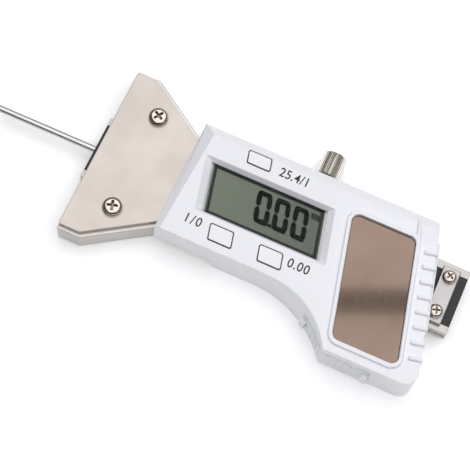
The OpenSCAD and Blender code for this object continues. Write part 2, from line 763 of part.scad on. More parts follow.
foot_block();
foot_cover();
foot_screws();
slider_frame();
frame_dowels();
gib();
gib_screws();
lock_pad();
lock_screw();
beam();
scale_strip();
scale_film();
probe_rod();
stop_plate();
stop_screws();
housing();
back_cover();
housing_screws();
grip_insert();
circuit_board();
board_screws();
controller_blob();
surface_parts();
key_switches();
zebra_strips();
lcd_holder();
lcd_glass();
lcd_window();
unit_button();
power_button();
zero_button();
solar_cell();
solar_leads();
storage_capacitor();
capacitor_leads();
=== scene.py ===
import math

import bmesh
import bpy
from mathutils import Matrix, Vector


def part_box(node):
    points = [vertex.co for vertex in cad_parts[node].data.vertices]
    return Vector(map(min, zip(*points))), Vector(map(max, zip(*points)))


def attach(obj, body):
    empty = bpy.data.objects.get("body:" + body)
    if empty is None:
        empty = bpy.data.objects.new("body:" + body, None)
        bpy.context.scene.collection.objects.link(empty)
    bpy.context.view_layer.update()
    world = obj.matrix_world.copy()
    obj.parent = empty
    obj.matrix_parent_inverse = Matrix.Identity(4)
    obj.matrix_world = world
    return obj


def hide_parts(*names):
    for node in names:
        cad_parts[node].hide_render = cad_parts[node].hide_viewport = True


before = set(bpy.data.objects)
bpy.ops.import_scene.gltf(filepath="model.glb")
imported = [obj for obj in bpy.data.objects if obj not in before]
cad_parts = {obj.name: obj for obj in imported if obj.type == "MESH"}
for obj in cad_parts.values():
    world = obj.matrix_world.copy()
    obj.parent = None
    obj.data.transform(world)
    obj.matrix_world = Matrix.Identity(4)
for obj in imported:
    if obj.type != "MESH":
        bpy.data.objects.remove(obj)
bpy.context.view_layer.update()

# ---- Camera, light and floor ----------------------------------------------
# The gauge lies on its back on a pale table and is seen from above its lower side. Two large soft
# boxes hang over it with a narrow gap between them, and the room behind the camera is dim.
mm = 0.001
look_at = Vector((36.2, -6.2, 5.0)) * mm
view_azimuth = math.radians(14.23)
view_elevation = math.radians(67.96)
view_roll = math.radians(10.20)
view_distance = 322.1 * mm
back = Vector((
    math.sin(view_azimuth) * math.cos(view_elevation),
    -math.cos(view_azimuth) * math.cos(view_elevation),
    math.sin(view_elevation),
))
level = Vector((math.cos(view_azimuth), math.sin(view_azimuth), 0))
upright = back.cross(level)
camera_right = level * math.cos(view_roll) + upright * math.sin(view_roll)
camera_up = upright * math.cos(view_roll) - level * math.sin(view_roll)
bpy.ops.object.camera_add()
camera = bpy.context.object
camera.name = "camera"
camera.matrix_world = (
    Matrix.Translation(look_at + back * view_distance)
    @ Matrix((camera_right, camera_up, back)).transposed().to_4x4()
)
camera.data.sensor_width = 36
camera.data.lens = 111.6
camera.data.clip_start = 0.01
bpy.context.scene.camera = camera
bpy.context.scene.view_settings.view_transform = "Standard"


def linear(hex_colour):
    """A colour written as sRGB hex, as linear red, green, blue and alpha."""
    parts = [int(hex_colour[i:i + 2], 16) / 255 for i in (1, 3, 5)]
    return tuple(c / 12.92 if c <= 0.04045 else ((c + 0.055) / 1.055) ** 2.4 for c in parts) + (1,)


def add_node(tree, kind, settings=None, links=None):
    """A shader node with its settings and incoming links, both given as name: value."""
    node = tree.nodes.new("ShaderNode" + kind)
    for name, value in (settings or {}).items():
        if isinstance(name, str) and hasattr(node, name):
            setattr(node, name, value)
        else:
            node.inputs[name].default_value = value
    for name, source in (links or {}).items():
        tree.links.new(source, node.inputs[name])
    return node


room = bpy.data.worlds.new("room")
room.use_nodes = True
bpy.context.scene.world = room
room_tree = room.node_tree
room_tree.nodes.clear()
room_way = add_node(room_tree, "TexCoord")
room_axes = add_node(room_tree, "SeparateXYZ", links={0: room_way.outputs["Generated"]})
room_front = add_node(
    room_tree, "MapRange",
    {"From Min": -0.9, "From Max": 0.2, "To Min": 0.06, "To Max": 0.55},
    {"Value": room_axes.outputs["Y"]},
)
room_reach = add_node(room_tree, "Math", {"operation": "ABSOLUTE"}, {0: room_axes.outputs["X"]})
room_side = add_node(
    room_tree, "MapRange",
    {"From Min": 0.2, "From Max": 0.95, "To Min": 1.0, "To Max": 0.25},
    {"Value": room_reach.outputs["Value"]},
)
room_rise = add_node(
    room_tree, "MapRange",
    {"From Min": 0.05, "From Max": 0.5, "To Min": 0.12, "To Max": 1.0},
    {"Value": room_axes.outputs["Z"]},
)
room_round = add_node(
    room_tree, "Math", {"operation": "MULTIPLY"},
    {0: room_front.outputs["Result"], 1: room_side.outputs["Result"]},
)
room_level = add_node(
    room_tree, "Math", {"operation": "MULTIPLY"},
    {0: room_round.outputs["Value"], 1: room_rise.outputs["Result"]},
)
room_light = add_node(
    room_tree, "Background", {"Color": linear("#f9f9fb")}, {"Strength": room_level.outputs["Value"]}
)
add_node(room_tree, "OutputWorld", links={"Surface": room_light.outputs["Background"]})

lamp_height = 500 * mm
gap_angle = math.radians(23.7)
gap_place = Vector((72 * mm, 179 * mm, lamp_height))
gap_side = Vector((-math.sin(gap_angle), math.cos(gap_angle), 0))
gap_half = 7.5 * mm
lamp_length = 900 * mm
for lamp_name, side, lamp_depth, lamp_power in (
    ("soft_box_far", 1, 300 * mm, 1.20),
    ("soft_box_near", -1, 600 * mm, 2.26),
):
    place = gap_place + gap_side * side * (gap_half + lamp_depth / 2)
    bpy.ops.object.light_add(type="AREA", location=place, rotation=(0, 0, gap_angle))
    lamp = bpy.context.object
    lamp.name = lamp_name
    lamp.data.shape = "RECTANGLE"
    lamp.data.size = lamp_length
    lamp.data.size_y = lamp_depth
    lamp.data.energy = lamp_power
    lamp.data.color = linear("#fcfcff")[:3]

floor_z = -0.05 * mm
bpy.ops.mesh.primitive_plane_add(size=3, location=(0, 0, floor_z))
floor = bpy.context.object
floor.name = "floor"
floor_paint = bpy.data.materials.new("white_table")
floor_paint.use_nodes = True
floor_shader = floor_paint.node_tree.nodes["Principled BSDF"]
floor_shader.inputs["Base Color"].default_value = linear("#f9f9f9")
floor_shader.inputs["Roughness"].default_value = 0.85
floor_shader.inputs["Emission Color"].default_value = linear("#ffffff")
floor_shader.inputs["Emission Strength"].default_value = 0.22
floor.data.materials.append(floor_paint)


# ---- Measuring foot -------------------------------------------------------
# A thick foot block and a thin cover plate, both milled steel with a satin nickel finish: warm,
# even, almost without grain, with bright narrow edges where the tumbling has rounded them.
def select_only(piece):
    for other in list(bpy.context.selected_objects):
        other.select_set(False)
    piece.select_set(True)
    bpy.context.view_layer.objects.active = piece


def apply_modifier(piece, kind, **settings):
    """Adds a modifier, sets it and applies it."""
    select_only(piece)
    bpy.ops.object.modifier_add(type=kind)
    modifier = piece.modifiers[-1]
    for name, value in settings.items():
        setattr(modifier, name, value)
    bpy.ops.object.modifier_apply(modifier=modifier.name)


def finish_faces(piece, angle=40):
    """Smooths the shading over soft edges and keeps large flat faces flat."""
    select_only(piece)
    bpy.ops.object.shade_smooth_by_angle(angle=math.radians(angle))
    apply_modifier(piece, "WEIGHTED_NORMAL", keep_sharp=True, weight=90)


def rounded_copy(node, name, width, angle=28, segments=2, chamfer=()):
    """A copy of a CAD node, merged, with every edge sharper than the angle rounded over.

    chamfer lists widths and tests: edges with both ends in the test are first cut off that wide.
    """
    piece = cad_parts[node].copy()
    piece.data = piece.data.copy()
    piece.name = name
    piece.parent = None
    for key in list(piece.keys()):
        del piece[key]
    bpy.context.scene.collection.objects.link(piece)
    piece.data.materials.clear()
    select_only(piece)
    bpy.ops.object.mode_set(mode="EDIT")
    bpy.ops.mesh.select_all(action="SELECT")
    bpy.ops.mesh.remove_doubles(threshold=0.002 * mm)
    bpy.ops.mesh.dissolve_limited(angle_limit=math.radians(0.3))
    for cut, test in chamfer:
        bpy.ops.mesh.select_all(action="DESELECT")
        form = bmesh.from_edit_mesh(piece.data)
        for edge in form.edges:
            edge.select = all(test(v.co) for v in edge.verts)
        form.select_flush(False)
        bpy.ops.mesh.bevel(offset=cut, segments=1)
    bpy.ops.object.mode_set(mode="OBJECT")
    apply_modifier(
        piece, "BEVEL", width=width, segments=segments, limit_method="ANGLE",
        angle_limit=math.radians(angle), use_clamp_overlap=False, miter_outer="MITER_ARC",
    )
    finish_faces(piece)
    return piece


def new_material(name, **settings):
    """A material with one Principled shader: returns it, its node tree, shader and coordinates."""
    material = bpy.data.materials.new(name)
    material.use_nodes = True
    tree = material.node_tree
    shader = tree.nodes["Principled BSDF"]
    for key, value in settings.items():
        shader.inputs[key.replace("_", " ")].default_value = value
    place = add_node(tree, "TexCoord").outputs["Object"]
    return material, tree, shader, place


def give(pieces, material, body=None, replaces=(), second=None):
    """Puts the material on pieces or CAD nodes, attaches each to its body and hides the CAD nodes it
    replaces.

    second is the material of the faces that were marked with index 1.
    """
    for piece in pieces if isinstance(pieces, (list, tuple)) else [pieces]:
        if isinstance(piece, str):
            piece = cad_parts[piece]
        marks = [polygon.material_index for polygon in piece.data.polygons]
        piece.data.materials.clear()
        piece.data.materials.append(material)
        if second:
            piece.data.materials.append(second)
        for polygon, mark in zip(piece.data.polygons, marks):
            polygon.material_index = mark if second else 0
        if body:
            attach(piece, body)
        if replaces:
            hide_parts(*replaces)


def satin_nickel(name, light, dark):
    # Blasted before plating: a soft cloudy tone over 10 mm and a fine even grain of 0.12 mm
    material, tree, shader, place = new_material(name, Metallic=1)
    clouds = add_node(tree, "TexNoise", {"Scale": 1 / (9 * mm), "Detail": 5}, {"Vector": place})
    cloud_range = add_node(
        tree, "MapRange", {"From Min": 0.35, "From Max": 0.65}, {"Value": clouds.outputs["Fac"]}
    )
    tone = add_node(tree, "MixRGB", {1: linear(light), 2: linear(dark)}, {0: cloud_range.outputs["Result"]})
    tree.links.new(tone.outputs["Color"], shader.inputs["Base Color"])
    grain = add_node(tree, "TexNoise", {"Scale": 1 / (0.12 * mm), "Detail": 2}, {"Vector": place})
    gloss = add_node(
        tree, "MapRange", {"To Min": 0.30, "To Max": 0.42}, {"Value": grain.outputs["Fac"]}
    )
    tree.links.new(gloss.outputs["Result"], shader.inputs["Roughness"])
    bump = add_node(
        tree, "Bump", {"Strength": 0.25, "Distance": 0.004 * mm}, {"Height": grain.outputs["Fac"]}
    )
    tree.links.new(bump.outputs["Normal"], shader.inputs["Normal"])
    return material


nickel = satin_nickel("satin_nickel_plate", "#bcb5ad", "#b3aba3")
edge_nickel = satin_nickel("satin_nickel_block", "#c9c4bf", "#bdb8b3")
foot_block = rounded_copy("foot_block", "foot_block_part", 0.22 * mm)
give(foot_block, edge_nickel, "root", ["foot_block"])
foot_cover = rounded_copy("foot_cover", "foot_cover_part", 0.16 * mm)
give(foot_cover, nickel, "root", ["foot_cover"])


# ---- Pan-head screws ------------------------------------------------------
# Bright nickel-plated steel, cold formed: a low dome with a rounded shoulder, and a tapered cross
# recess punched into it.
def pan_screw(name, head_d, head_h, shank_d, shank_l):
    """A screw standing on z = 0 at the origin, with its shank below."""
    bpy.ops.mesh.primitive_cylinder_add(
        vertices=64, radius=head_d / 2, depth=head_h, location=(0, 0, head_h / 2)
    )
    head = bpy.context.object
    head.name = name
    bpy.ops.object.mode_set(mode="EDIT")
    bpy.ops.mesh.select_all(action="DESELECT")
    form = bmesh.from_edit_mesh(head.data)
    for edge in form.edges:
        edge.select = all(v.co.z > head_h * 0.4 for v in edge.verts)
    form.select_flush(True)
    bpy.ops.mesh.bevel(offset=head_h * 0.75, offset_pct=0, segments=8, profile=0.5)
    bpy.ops.object.mode_set(mode="OBJECT")
    bpy.ops.object.transform_apply(location=True, rotation=True, scale=True)
    recess_l = head_d * 0.66
    recess_w = head_d * 0.17
    depth = head_h * 0.66
    for angle in (0, 90):
        bpy.ops.mesh.primitive_cube_add(size=1, location=(0, 0, head_h - depth / 2 + 0.3 * depth))
        cutter = bpy.context.object
        cutter.scale = (recess_l, recess_w, depth * 1.6)
        cutter.rotation_euler = (0, 0, math.radians(angle))
        bpy.ops.object.transform_apply(location=True, rotation=True, scale=True)
        bpy.ops.object.mode_set(mode="EDIT")
        bpy.ops.mesh.select_all(action="DESELECT")
        form = bmesh.from_edit_mesh(cutter.data)
        for face in form.faces:
            face.select = face.normal.z < -0.9
        form.select_flush(True)
        bpy.ops.transform.resize(value=(0.55, 0.55, 1))
        bpy.ops.object.mode_set(mode="OBJECT")
        apply_modifier(head, "BOOLEAN", object=cutter, operation="DIFFERENCE", solver="EXACT")
        bpy.data.objects.remove(cutter)
    bpy.ops.mesh.primitive_cylinder_add(
        vertices=32, radius=shank_d / 2, depth=shank_l, location=(0, 0, -shank_l / 2 + 0.001 * mm)
    )
    shank = bpy.context.object
    bpy.ops.object.transform_apply(location=True, rotation=True, scale=True)
    apply_modifier(
        head, "BEVEL", width=head_d * 0.012, segments=2, limit_method="ANGLE",
        angle_limit=math.radians(35), use_clamp_overlap=True,
    )
    select_only(head)
    shank.select_set(True)
    bpy.ops.object.join()
    # Faces down in the cross recess get index 1, for a darker metal that is painted shade
    for polygon in head.data.polygons:
        middle = polygon.center
        inside = 0 < middle.z < head_h * 0.86 and middle.xy.length < recess_l * 0.52
        polygon.material_index = 1 if inside else 0
    return head


def bright_nickel(name, light, dark, gloss):
    # Electroplated and tumbled: mirror bright, with a faint orange peel of 0.3 mm
    material, tree, shader, place = new_material(name, Metallic=1)
    peel = add_node(tree, "TexNoise", {"Scale": 1 / (0.3 * mm), "Detail": 3}, {"Vector": place})
    tone = add_node(tree, "MixRGB", {1: linear(light), 2: linear(dark)}, {0: peel.outputs["Fac"]})
    tree.links.new(tone.outputs["Color"], shader.inputs["Base Color"])
    sheen = add_node(
        tree, "MapRange", {"To Min": gloss, "To Max": gloss + 0.08}, {"Value": peel.outputs["Fac"]}
    )
    tree.links.new(sheen.outputs["Result"], shader.inputs["Roughness"])
    bump = add_node(
        tree, "Bump", {"Strength": 0.15, "Distance": 0.01 * mm}, {"Height": peel.outputs["Fac"]}
    )
    tree.links.new(bump.outputs["Normal"], shader.inputs["Normal"])
    return material


def screw_places(node):
    """The middle of each solid of a CAD screw node, with its lowest and highest z."""
    form = bmesh.new()
    form.from_mesh(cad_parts[node].data)
    bmesh.ops.remove_doubles(form, verts=form.verts, dist=0.002 * mm)
    left = set(form.verts)
    spots = []
    while left:
        shell, queue = set(), [left.pop()]
        while queue:
            vert = queue.pop()
            shell.add(vert)
            for edge in vert.link_edges:
                other = edge.other_vert(vert)
                if other in left:
                    left.remove(other)
                    queue.append(other)
        low = Vector(min(v.co[i] for v in shell) for i in range(3))
        high = Vector(max(v.co[i] for v in shell) for i in range(3))
        spots.append(((low.x + high.x) / 2, (low.y + high.y) / 2, low.z, high.z))
    form.free()
    return sorted(spots)


def put_screws(stem, node, head_d, head_h, shank_d, materials, body, flip=False):
    """A screw with its own mesh at each place where the CAD node has one.

    materials are those of the screw and of its recess, and flip turns the heads downwards.
    """
    first_turn, turn_step = 17, 41
    spots = screw_places(node)
    shank_l = spots[0][3] - spots[0][2] - head_h
    pattern = pan_screw(stem, head_d, head_h, shank_d, shank_l)
    for number, (x, y, low, high) in enumerate(spots):
        screw = pattern.copy()
        screw.data = pattern.data.copy()
        screw.name = f"{stem}_{number + 1}"
        bpy.context.scene.collection.objects.link(screw)
        seat = Matrix.Translation((x, y, low + head_h if flip else high - head_h))
        over = Matrix.Rotation(math.pi if flip else 0, 4, "X")
        turn = Matrix.Rotation(math.radians(first_turn + turn_step * number), 4, "Z")
        screw.data.transform(seat @ over @ turn)
        finish_faces(screw)
        give(screw, materials[0], body, [node], materials[1])
    bpy.data.objects.remove(pattern)


screw_metal = bright_nickel("bright_nickel_screw", "#d0c7bc", "#c0b6aa", 0.06)
# The recess metal is darker than the head: painted shade in the cross recess
recess_shade_metal = bright_nickel("recess_painted_shade", "#a89a8a", "#83776a", 0.40)
nickel_screw = (screw_metal, recess_shade_metal)
put_screws(
    "foot_screw", "foot_screws", 4.5 * mm, 1.4 * mm, 2.4 * mm, nickel_screw, "root"
)


# ---- Slider frame, dowels and gib -----------------------------------------
# The frame behind the foot is milled and blasted stainless steel. Two steel dowels line it up, and
# a brass gib with two blackened set screws takes up the beam's play.
def blasted_steel():
    # Glass-bead blasting leaves an even dull grain of about 0.15 mm
    material, tree, shader, place = new_material("blasted_stainless_steel", Metallic=1)
    grain = add_node(tree, "TexNoise", {"Scale": 1 / (0.15 * mm), "Detail": 3}, {"Vector": place})
    tone = add_node(tree, "MixRGB", {1: linear("#c4c1bc"), 2: linear("#aeaba6")}, {0: grain.outputs["Fac"]})
    tree.links.new(tone.outputs["Color"], shader.inputs["Base Color"])
    gloss = add_node(tree, "MapRange", {"To Min": 0.42, "To Max": 0.55}, {"Value": grain.outputs["Fac"]})
    tree.links.new(gloss.outputs["Result"], shader.inputs["Roughness"])
    bump = add_node(
        tree, "Bump", {"Strength": 0.4, "Distance": 0.006 * mm}, {"Height": grain.outputs["Fac"]}
    )
    tree.links.new(bump.outputs["Normal"], shader.inputs["Normal"])
    return material


def turned_brass():
    # Fine tool marks along X, 0.08 mm apart
    material, tree, shader, place = new_material("machined_brass", Metallic=1)
    stretch = (1 / (4 * mm), 1 / (0.08 * mm), 1 / (0.08 * mm))
    lines = add_node(tree, "Mapping", {"Scale": stretch}, {"Vector": place})
    marks = add_node(tree, "TexNoise", {"Scale": 1.0, "Detail": 2}, {"Vector": lines.outputs["Vector"]})
    tone = add_node(tree, "MixRGB", {1: linear("#d6b36a"), 2: linear("#bd9648")}, {0: marks.outputs["Fac"]})
    tree.links.new(tone.outputs["Color"], shader.inputs["Base Color"])
    gloss = add_node(tree, "MapRange", {"To Min": 0.22, "To Max": 0.38}, {"Value": marks.outputs["Fac"]})
    tree.links.new(gloss.outputs["Result"], shader.inputs["Roughness"])
    return material


def black_oxide():
    # Chemically blackened steel: dark, slightly brown, with a worn sheen
    material, tree, shader, place = new_material("black_oxide_steel", Metallic=0.85)
    wear = add_node(tree, "TexNoise", {"Scale": 1 / (0.5 * mm), "Detail": 5}, {"Vector": place})
    tone = add_node(tree, "MixRGB", {1: linear("#3b3835"), 2: linear("#57524c")}, {0: wear.outputs["Fac"]})
    tree.links.new(tone.outputs["Color"], shader.inputs["Base Color"])
    gloss = add_node(tree, "MapRange", {"To Min": 0.30, "To Max": 0.50}, {"Value": wear.outputs["Fac"]})
    tree.links.new(gloss.outputs["Result"], shader.inputs["Roughness"])
    return material


steel = blasted_steel()
slider_frame = rounded_copy("slider_frame", "slider_frame_part", 0.12 * mm)
give(slider_frame, steel, "root", ["slider_frame"])
give("frame_dowels", steel)
brass = turned_brass()
give(["gib", "lock_pad"], brass)
oxide = black_oxide()
give("gib_screws", oxide)


# ---- Lock screw -----------------------------------------------------------
# Turned and straight-knurled brass, nickel plated: fine upright ridges with dark valleys, and a
# chamfered, slightly hollow end.
knob_low, knob_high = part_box("lock_screw")
knob_r = (knob_high.x - knob_low.x) / 2
knob_l = 6 * mm
knob_ridges = 30
knob_axis = Vector(((knob_low.x + knob_high.x) / 2, knob_high.y, (knob_low.z + knob_high.z) / 2))
bpy.ops.mesh.primitive_cylinder_add(
    vertices=knob_ridges * 4, radius=knob_r, depth=knob_l, location=(0, 0, -knob_l / 2)
)
lock_knob = bpy.context.object
lock_knob.name = "lock_knob"
bpy.ops.object.transform_apply(location=True, rotation=True, scale=True)
bpy.ops.object.mode_set(mode="EDIT")
form = bmesh.from_edit_mesh(lock_knob.data)
bpy.ops.mesh.select_all(action="DESELECT")
for edge in form.edges:
    edge.select = abs(edge.verts[0].co.z - edge.verts[1].co.z) < 1e-6
form.select_flush(False)
for face in form.faces:
    face.select = abs(face.normal.z) > 0.9
bpy.ops.mesh.bevel(offset=0.42 * mm, segments=2, profile=0.5)
bpy.ops.mesh.select_all(action="DESELECT")
for face in form.faces:
    face.select = False
for vert in form.verts:
    turn = math.degrees(math.atan2(vert.co.y, vert.co.x)) % (360 / knob_ridges)
    vert.select = turn > 180 / knob_ridges - 0.1 and vert.co.xy.length > knob_r * 0.8
form.select_flush_mode()
bpy.ops.transform.resize(value=(0.91, 0.91, 1), center_override=(0, 0, 0))
bpy.ops.mesh.select_all(action="DESELECT")
for face in form.faces:
    face.select = face.normal.z > 0.9 and face.calc_center_median().xy.length < knob_r * 0.3
bpy.ops.mesh.inset(thickness=0.45 * mm)
bpy.ops.transform.translate(value=(0, 0, -0.25 * mm))
bpy.ops.object.mode_set(mode="OBJECT")
shank_l = (knob_high.y - knob_low.y) - knob_l
bpy.ops.mesh.primitive_cylinder_add(
    vertices=40, radius=1.45 * mm, depth=shank_l, location=(0, 0, -knob_l - shank_l / 2)
)
shank = bpy.context.object
bpy.ops.object.transform_apply(location=True, rotation=True, scale=True)
select_only(lock_knob)
shank.select_set(True)
bpy.ops.object.join()
lock_knob.data.transform(Matrix.Translation(knob_axis) @ Matrix.Rotation(math.radians(-90), 4, "X"))
finish_faces(lock_knob, 25)


def knurled_nickel():
    # Plated over the knurl: lighter on the ridge tops and darker down in the valleys, by distance from the
    # axis
    material, tree, shader, place = new_material("knurled_nickel", Metallic=1)
    centred = add_node(tree, "Mapping", {"Location": tuple(-knob_axis)}, {"Vector": place})
    axes = add_node(tree, "SeparateXYZ", links={0: centred.outputs["Vector"]})
    across = add_node(tree, "CombineXYZ", links={"X": axes.outputs["X"], "Y": axes.outputs["Z"]})
    radius = add_node(tree, "VectorMath", {"operation": "LENGTH"}, {0: across.outputs["Vector"]})
    valley = add_node(
        tree, "MapRange", {"From Min": knob_r * 0.90, "From Max": knob_r * 0.985},
        {"Value": radius.outputs["Value"]},
    )
    tone = add_node(
        tree, "MixRGB", {1: linear("#8f8980"), 2: linear("#e4dfd8")}, {0: valley.outputs["Result"]}
    )
    tree.links.new(tone.outputs["Color"], shader.inputs["Base Color"])
    grain = add_node(tree, "TexNoise", {"Scale": 1 / (0.2 * mm), "Detail": 3}, {"Vector": place})
    gloss = add_node(tree, "MapRange", {"To Min": 0.30, "To Max": 0.42}, {"Value": grain.outputs["Fac"]})
    tree.links.new(gloss.outputs["Result"], shader.inputs["Roughness"])
    return material


give(lock_knob, knurled_nickel(), "lock_screw", ["lock_screw"])


# ---- Beam, scale and probe ------------------------------------------------
# The beam is ground stainless steel with a groove for the scale: a laminate strip under a black
# film. The probe is a bright drawn rod pressed into the beam's front end.
def ground_steel(name, light, dark, along, gloss_low, gloss_high):
    # Ground along the length: scratches 0.05 mm wide and several millimetres long
    material, tree, shader, place = new_material(name, Metallic=1)
    stretch = [1 / (0.05 * mm)] * 3
    stretch[along] = 1 / (6 * mm)
    lines = add_node(tree, "Mapping", {"Scale": tuple(stretch)}, {"Vector": place})
    marks = add_node(tree, "TexNoise", {"Scale": 1.0, "Detail": 3}, {"Vector": lines.outputs["Vector"]})
    tone = add_node(tree, "MixRGB", {1: linear(light), 2: linear(dark)}, {0: marks.outputs["Fac"]})
    tree.links.new(tone.outputs["Color"], shader.inputs["Base Color"])
    gloss = add_node(
        tree, "MapRange", {"To Min": gloss_low, "To Max": gloss_high}, {"Value": marks.outputs["Fac"]}
    )
    tree.links.new(gloss.outputs["Result"], shader.inputs["Roughness"])
    bump = add_node(tree, "Bump", {"Strength": 0.3, "Distance": 0.003 * mm}, {"Height": marks.outputs["Fac"]})
    tree.links.new(bump.outputs["Normal"], shader.inputs["Normal"])
    return material


def black_film():
    # Polyester film, screen-printed black: semi-matte with a faint pebble of 0.25 mm
    material, tree, shader, place = new_material("black_polyester_film", Specular_IOR_Level=0.4)
    pebble = add_node(tree, "TexNoise", {"Scale": 1 / (0.25 * mm), "Detail": 2}, {"Vector": place})
    tone = add_node(tree, "MixRGB", {1: linear("#161617"), 2: linear("#232325")}, {0: pebble.outputs["Fac"]})
    tree.links.new(tone.outputs["Color"], shader.inputs["Base Color"])
    gloss = add_node(tree, "MapRange", {"To Min": 0.34, "To Max": 0.46}, {"Value": pebble.outputs["Fac"]})
    tree.links.new(gloss.outputs["Result"], shader.inputs["Roughness"])
    bump = add_node(
        tree, "Bump", {"Strength": 0.2, "Distance": 0.005 * mm}, {"Height": pebble.outputs["Fac"]}
    )
    tree.links.new(bump.outputs["Normal"], shader.inputs["Normal"])
    return material


def laminate():
    # Woven glass under green resin: a faint weave of 0.4 mm
    material, tree, shader, place = new_material("glass_epoxy_laminate", Roughness=0.35)
    weave = add_node(tree, "TexNoise", {"Scale": 1 / (0.4 * mm), "Detail": 2}, {"Vector": place})
    tone = add_node(tree, "MixRGB", {1: linear("#2c6a40"), 2: linear("#245a36")}, {0: weave.outputs["Fac"]})
    tree.links.new(tone.outputs["Color"], shader.inputs["Base Color"])
    return material


beam = rounded_copy("beam", "beam_part", 0.14 * mm)
beam_steel = ground_steel("ground_stainless_steel", "#b9b5b0", "#a5a19b", 0, 0.26, 0.40)
give(beam, beam_steel, "beam", ["beam"])
film = black_film()
scale_film = rounded_copy("scale_film", "scale_film_part", 0.03 * mm)
give(scale_film, film, "beam", ["scale_film"])
green_laminate = laminate()
give("scale_strip", green_laminate)
probe = rounded_copy("probe_rod", "probe_rod_part", 0.06 * mm)
rod_steel = ground_steel("bright_drawn_steel", "#cfcecc", "#bbbab8", 0, 0.20, 0.30)
give(probe, rod_steel, "beam", ["probe_rod"])


# ---- Stop plate -----------------------------------------------------------
# A nickel-plated steel plate across the beam's rear end, held by two small pan-head screws. It
# stops the beam against the housing when the probe is fully out.
stop_plate = rounded_copy("stop_plate", "stop_plate_part", 0.25 * mm)
stop_nickel = satin_nickel("satin_nickel_stop", "#b2afad", "#a8a5a3")
give(stop_plate, stop_nickel, "beam", ["stop_plate"])
put_screws(
    "stop_screw", "stop_screws", 3.3 * mm, 1.2 * mm, 1.9 * mm, nickel_screw, "beam"
)


# ---- Housing --------------------------------------------------------------
# One moulding in cool white ABS with a satin gloss. The tool was spark eroded very finely, so the
# faces have a faint 0.1 mm grain, and all outer edges are slightly rounded.
def white_abs(name, light, shade, gloss):
    # Moulded ABS: the grain is drawn at 0.16 mm, a little coarser than real, so that it shows
    material, tree, shader, place = new_material(name, Roughness=gloss, IOR=1.53)
    cloud = add_node(tree, "TexNoise", {"Scale": 1 / (14 * mm), "Detail": 3}, {"Vector": place})
    tone = add_node(tree, "MixRGB", {1: linear(light), 2: linear(shade)}, {0: cloud.outputs["Fac"]})
    tree.links.new(tone.outputs["Color"], shader.inputs["Base Color"])
    grain = add_node(tree, "TexNoise", {"Scale": 1 / (0.16 * mm), "Detail": 2}, {"Vector": place})
    sheen = add_node(
        tree, "MapRange", {"To Min": gloss - 0.05, "To Max": gloss + 0.07}, {"Value": grain.outputs["Fac"]}
    )
    tree.links.new(sheen.outputs["Result"], shader.inputs["Roughness"])
    bump = add_node(
        tree, "Bump", {"Strength": 0.18, "Distance": 0.004 * mm}, {"Height": grain.outputs["Fac"]}
    )
    tree.links.new(bump.outputs["Normal"], shader.inputs["Normal"])
    return material


abs_plastic = white_abs("white_abs", "#f2f3f6", "#eeeff3", 0.32)
housing_top = 9.6 * mm
collar_top = 7.6 * mm
collar_edge = 80.65 * mm
rim_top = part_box("housing")[1].z
housing = rounded_copy(
    "housing", "housing_part", 0.12 * mm, angle=24,
    chamfer=(
        (0.6 * mm, lambda co: abs(co.z - collar_top) < 0.02 * mm and co.x + 0.23 * co.y > collar_edge),
        (0.26 * mm, lambda co: abs(co.z - rim_top) < 0.01 * mm),
    ),
)
give(housing, abs_plastic, "root", ["housing"])
back_cover = rounded_copy("back_cover", "back_cover_part", 0.14 * mm)
give(back_cover, abs_plastic, "root", ["back_cover"])
give("grip_insert", white_abs("grip_abs", "#eceef1", "#e5e7ea", 0.38))

put_screws(
    "housing_screw", "housing_screws", 2.8 * mm, 1.0 * mm, 1.66 * mm, (oxide, oxide), "root",
    flip=True,
)


# ---- Electronics ----------------------------------------------------------
# The board and what is soldered to it, hidden behind the display: green laminate, black resin over
# the chip, ceramic parts, black switches, tinned wire and a sleeved capacitor.
def plain_finish(name, light, dark, gloss, size, metallic=0.0):
    """A moulded or dipped finish with a slight mottle of the given size."""
    material, tree, shader, place = new_material(name, Metallic=metallic, Roughness=gloss)
    mottle = add_node(tree, "TexNoise", {"Scale": 1 / size, "Detail": 3}, {"Vector": place})
    tone = add_node(tree, "MixRGB", {1: linear(light), 2: linear(dark)}, {0: mottle.outputs["Fac"]})
    tree.links.new(tone.outputs["Color"], shader.inputs["Base Color"])
    sheen = add_node(
        tree, "MapRange", {"To Min": gloss - 0.05, "To Max": gloss + 0.08}, {"Value": mottle.outputs["Fac"]}
    )
    tree.links.new(sheen.outputs["Result"], shader.inputs["Roughness"])
    return material


give("circuit_board", green_laminate)
give("board_screws", screw_metal)
black_resin = plain_finish("black_epoxy_resin", "#121212", "#1d1d1e", 0.25, 0.6 * mm)
give(["controller_blob", "key_switches"], black_resin)
give("surface_parts", plain_finish("brown_ceramic", "#8f7250", "#7a5f40", 0.45, 0.2 * mm))
give("zebra_strips", plain_finish("conductive_silicone", "#4a4a4e", "#3c3c40", 0.7, 0.15 * mm))
give("storage_capacitor", plain_finish("blue_shrink_sleeve", "#2b3a67", "#223056", 0.3, 1 * mm))
give("capacitor_leads", plain_finish("tinned_copper_wire", "#c8c8c8", "#b0b0b0", 0.3, 0.2 * mm, 1.0))
give("solar_leads", plain_finish("red_wire_insulation", "#b0302c", "#9a2824", 0.4, 0.3 * mm))
give("lcd_holder", abs_plastic)


